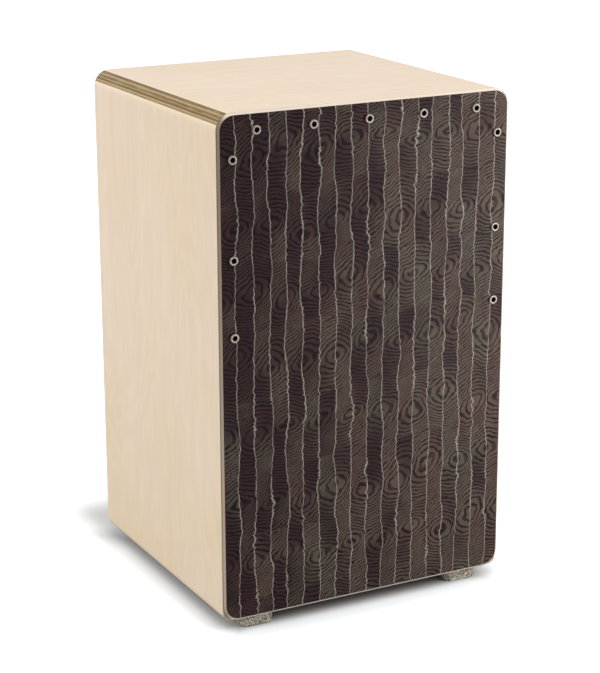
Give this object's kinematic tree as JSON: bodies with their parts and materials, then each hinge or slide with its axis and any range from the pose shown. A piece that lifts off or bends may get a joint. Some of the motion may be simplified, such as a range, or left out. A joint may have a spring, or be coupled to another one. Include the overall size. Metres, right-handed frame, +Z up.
{
  "type": "cajon",
  "caption": "Upright plywood box drum with a screwed, dark figured front plate, a round rear sound hole, rubber feet and a slide-out snare unit.",
  "frame": {"origin": "on the floor plane under the middle of the whole object, front screw heads included", "axes": "+Z up, the playing face looks along -Y, +X to the right of someone who faces the playing face"},
  "size_m": [0.3, 0.2824, 0.488],
  "materials": {
    "birch_ply": "satin lacquer over pale birch plywood",
    "plate_ply": "raw edge of thin plywood under clear lacquer",
    "figured_veneer": "dark figured veneer with satin lacquer",
    "batten_wood": "planed, unlacquered",
    "nickel": "bright nickel plate",
    "foot_rubber": "speckled granulate, matt",
    "zinc_steel": "zinc plated",
    "felt": "pressed wool felt",
    "bar_wood": "planed beech, oiled",
    "snare_steel": "bright steel wire and plate"
  },
  "bodies": {
    "box": {"top_panel": "birch_ply", "bottom_panel": "birch_ply", "left_side_panel": "birch_ply", "right_side_panel": "birch_ply", "back_panel": "birch_ply", "front_plate": "plate_ply", "front_veneer": "figured_veneer", "front_batten_top": "batten_wood", "front_batten_bottom": "batten_wood", "front_batten_left": "batten_wood", "front_batten_right": "batten_wood", "snare_guide_left": "batten_wood", "snare_guide_right": "batten_wood", "front_plate_screws": "nickel", "foot_front_left": "foot_rubber", "foot_front_right": "foot_rubber", "foot_rear_left": "foot_rubber", "foot_rear_right": "foot_rubber", "foot_washers": "zinc_steel", "foot_screws": "zinc_steel", "snare_guide_screws": "zinc_steel", "guide_felt_left": "felt", "guide_felt_right": "felt"},
    "snare_unit": {"snare_bar": "bar_wood", "snare_plate_left": "snare_steel", "snare_plate_right": "snare_steel", "snare_wires_left": "snare_steel", "snare_wires_right": "snare_steel", "snare_plate_screws": "zinc_steel"}
  },
  "joints": [
    {"name": "snare_slide", "type": "slide", "parent": "box", "child": "snare_unit", "axis": [0, 1, 0], "range_m": [0, 0.04]}
  ]
}
